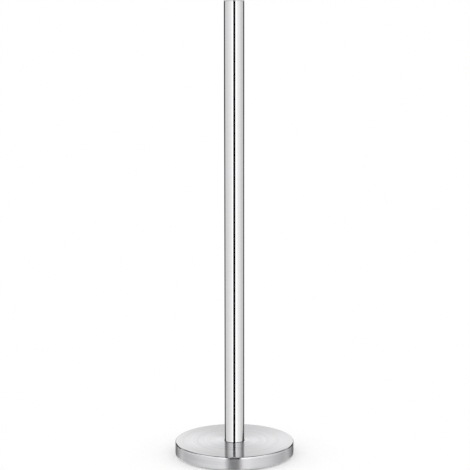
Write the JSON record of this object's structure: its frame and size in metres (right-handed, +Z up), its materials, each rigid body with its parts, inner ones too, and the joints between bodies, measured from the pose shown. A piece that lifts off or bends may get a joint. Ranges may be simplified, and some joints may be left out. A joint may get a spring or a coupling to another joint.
{
  "type": "freestanding toilet paper holder",
  "caption": "Free-standing pole on a round weighted base, in brushed stainless steel, on which spare toilet rolls are stacked.",
  "frame": {"origin": "on the floor, at the middle of the base: the centre of the anti-slip pad's underside", "axes": "+Z up along the pole; the holder is round, so +X and +Y are any two level directions at right angles"},
  "size_m": [0.12, 0.12, 0.455],
  "materials": {
    "brushed_cover": "stainless steel, satin, brushed in circles on top and along its length on the rim",
    "brushed_tube": "stainless steel, finely brushed, half bright",
    "turned_cap": "stainless steel, fine-turned and brushed in circles",
    "cast_weight": "turned grey iron, lightly oiled",
    "foam_rubber": "matt closed-cell foam rubber",
    "turned_steel": "plain steel, turned from bar",
    "plated_steel": "zinc-plated steel, half bright"
  },
  "bodies": {
    "root": {"base_cover": "brushed_cover", "base_weight": "cast_weight", "anti_slip_pad": "foam_rubber", "pole_tube": "brushed_tube", "pole_top_cap": "turned_cap", "pole_thread_insert": "turned_steel", "clamp_screw": "plated_steel", "spring_washer": "plated_steel", "flat_washer": "plated_steel"}
  },
  "joints": []
}
